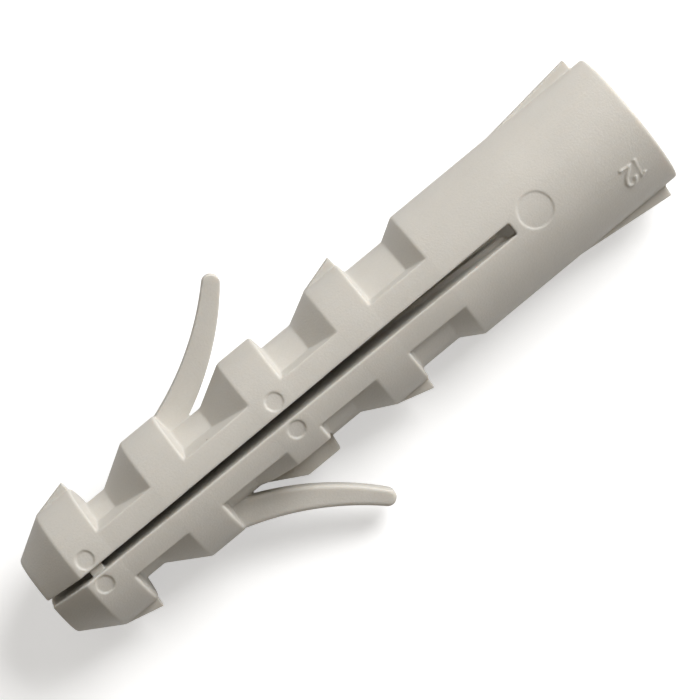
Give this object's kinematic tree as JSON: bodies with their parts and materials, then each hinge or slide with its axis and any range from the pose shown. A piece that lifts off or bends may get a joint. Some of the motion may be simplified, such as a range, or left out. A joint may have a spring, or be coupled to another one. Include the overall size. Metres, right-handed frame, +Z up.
{
  "type": "expansion wall plug",
  "caption": "Moulded nylon expansion plug for concrete and masonry: open screw neck, slotted barbed halves that spread, curved spring wings and anti-rotation fins.",
  "frame": {"origin": "centre of the footprint on the surface the plug lies on, at Z = 0; the plug's axis is 6 mm above it", "axes": "+X along the plug's axis towards the open rim where the screw enters, +Z up. The plug lies rolled 23 degrees about that axis, so that the long slot faces up and down and the spring wings stand out to +Y and -Y, all 23 degrees off true, and the tip of the wing at -Y is about 1.4 mm off the floor"},
  "size_m": [0.06, 0.0228, 0.012],
  "materials": {
    "plug_body": "light warm-grey moulded nylon with a fine even grain, matte with a faint sheen, unworn"
  },
  "bodies": {
    "root": {"plug_body": "plug_body"}
  },
  "joints": []
}
